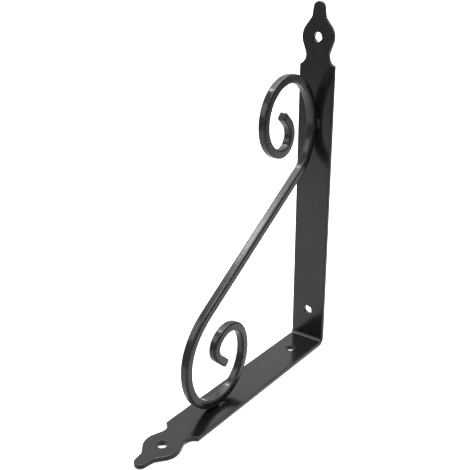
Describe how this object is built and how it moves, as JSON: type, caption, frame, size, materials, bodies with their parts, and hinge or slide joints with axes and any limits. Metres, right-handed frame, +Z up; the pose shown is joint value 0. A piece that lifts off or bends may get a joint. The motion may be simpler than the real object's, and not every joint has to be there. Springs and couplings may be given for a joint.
{
  "type": "scroll shelf bracket",
  "caption": "L-shaped black steel shelf bracket with a pierced finial on each end and an S-scroll bar welded between its legs.",
  "frame": {"origin": "under the middle of the bracket's box, on the plane of the shelf leg's underside", "axes": "+Z up along the wall leg, +Y out of the wall leg's back towards the wall, X across the strip"},
  "size_m": [0.025, 0.18, 0.2355],
  "materials": {
    "strip_paint": "semi-gloss black",
    "bar_paint": "semi-gloss black, slightly grainy",
    "weld_paint": "semi-gloss black"
  },
  "bodies": {
    "root": {"bent_strip": "strip_paint", "scroll_bar": "bar_paint", "wall_weld_right": "weld_paint", "wall_weld_left": "weld_paint", "shelf_weld_right": "weld_paint", "shelf_weld_left": "weld_paint"}
  },
  "joints": []
}
